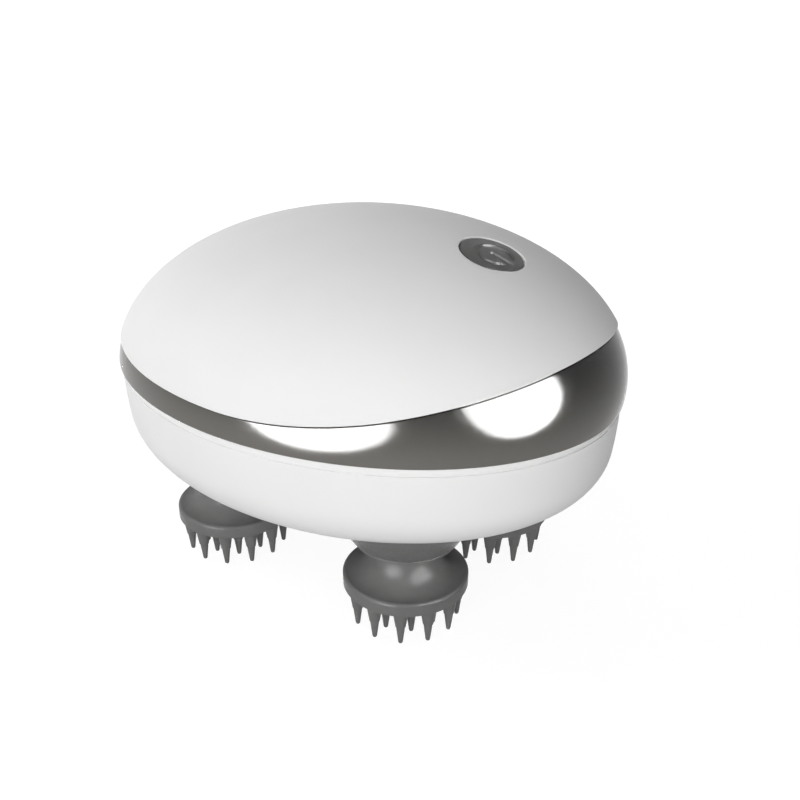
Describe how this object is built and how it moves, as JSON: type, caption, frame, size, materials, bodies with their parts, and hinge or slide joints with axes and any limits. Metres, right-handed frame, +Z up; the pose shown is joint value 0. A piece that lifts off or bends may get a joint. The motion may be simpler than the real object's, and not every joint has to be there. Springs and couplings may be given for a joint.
{
  "type": "electric scalp massager",
  "caption": "Cordless scalp massager with a domed white housing, a dark glossy band, a power button and turning silicone heads with teeth.",
  "frame": {"origin": "on the plane of the tooth tips, under the middle of the housing", "axes": "+X to the end where the dark band is wide, +Y to the left of that, +Z up out of the dome"},
  "size_m": [0.1234, 0.097, 0.0838],
  "materials": {
    "white_shell": "satin white plastic",
    "dark_band": "glossy warm grey plastic",
    "button_plastic": "satin grey plastic",
    "silicone": "satin grey silicone",
    "black_rubber": "matte",
    "black_plastic": "matte",
    "nylon": "natural",
    "steel": "bright",
    "brass": "bright",
    "ferrite": "matte",
    "circuit_board": "solder mask",
    "cell_wrap": "shrink wrap"
  },
  "bodies": {
    "housing": {"top_cover": "white_shell", "mid_band": "dark_band", "bottom_shell": "white_shell", "head_collars": "silicone", "shell_gasket": "black_rubber", "case_screws": "steel", "button_guide": "black_plastic", "button_membrane": "black_rubber", "tact_switch": "black_plastic", "control_board": "circuit_board", "board_screws": "steel", "gear_chassis": "nylon", "chassis_screws": "steel", "centre_pin": "steel", "idler_pin": "steel", "lower_bushings": "brass", "upper_bushings": "brass", "shaft_seals": "black_rubber", "motor_can": "steel", "motor_magnets": "ferrite", "motor_end_cap": "black_plastic", "motor_screws": "steel", "battery_cell": "cell_wrap", "battery_cradle": "nylon", "battery_strap": "black_rubber", "charge_socket": "steel", "socket_board": "circuit_board", "socket_gasket": "black_rubber"},
    "button": {"power_button": "button_plastic", "switch_stem": "black_plastic"},
    "motor_rotor": {"motor_armature": "ferrite", "motor_shaft": "steel", "motor_pinion": "brass"},
    "idler": {"idler_gear": "nylon"},
    "drive": {"drive_gear": "nylon"},
    "front_right": {"front_right_gear": "nylon", "front_right_shaft": "steel", "front_right_hub": "nylon", "front_right_head": "silicone"},
    "front_left": {"front_left_gear": "nylon", "front_left_shaft": "steel", "front_left_hub": "nylon", "front_left_head": "silicone"},
    "rear_right": {"rear_right_gear": "nylon", "rear_right_shaft": "steel", "rear_right_hub": "nylon", "rear_right_head": "silicone"},
    "rear_left": {"rear_left_gear": "nylon", "rear_left_shaft": "steel", "rear_left_hub": "nylon", "rear_left_head": "silicone"}
  },
  "joints": [
    {"name": "button_press", "type": "slide", "parent": "housing", "child": "button", "axis": [-0.2804, 0, -0.9599], "range_m": [0, 0.0006], "stiffness_N_per_m": 3000, "springref_m": -0.0003},
    {"name": "motor_spin", "type": "hinge", "parent": "housing", "child": "motor_rotor", "pos_m": [0, -0.009, 0.03], "axis": [0, 0, 1], "continuous": true},
    {"name": "idler_spin", "type": "hinge", "parent": "housing", "child": "idler", "pos_m": [0, -0.026, 0.03], "axis": [0, 0, 1], "continuous": true},
    {"name": "drive_spin", "type": "hinge", "parent": "housing", "child": "drive", "pos_m": [0, 0, 0.03], "axis": [0, 0, 1], "continuous": true},
    {"name": "front_right_spin", "type": "hinge", "parent": "housing", "child": "front_right", "pos_m": [0.02563, -0.01848, 0.03], "axis": [0, 0, 1], "continuous": true},
    {"name": "front_left_spin", "type": "hinge", "parent": "housing", "child": "front_left", "pos_m": [0.02563, 0.01848, 0.03], "axis": [0, 0, 1], "continuous": true},
    {"name": "rear_right_spin", "type": "hinge", "parent": "housing", "child": "rear_right", "pos_m": [-0.02563, -0.01848, 0.03], "axis": [0, 0, 1], "continuous": true},
    {"name": "rear_left_spin", "type": "hinge", "parent": "housing", "child": "rear_left", "pos_m": [-0.02563, 0.01848, 0.03], "axis": [0, 0, 1], "continuous": true}
  ],
  "couplings": [
    {"joint": "idler_spin", "follows": "motor_spin", "ratio": -0.33333},
    {"joint": "drive_spin", "follows": "motor_spin", "ratio": 0.11806},
    {"joint": "front_right_spin", "follows": "motor_spin", "ratio": -0.1828},
    {"joint": "front_left_spin", "follows": "motor_spin", "ratio": -0.1828},
    {"joint": "rear_right_spin", "follows": "motor_spin", "ratio": -0.1828},
    {"joint": "rear_left_spin", "follows": "motor_spin", "ratio": -0.1828}
  ]
}
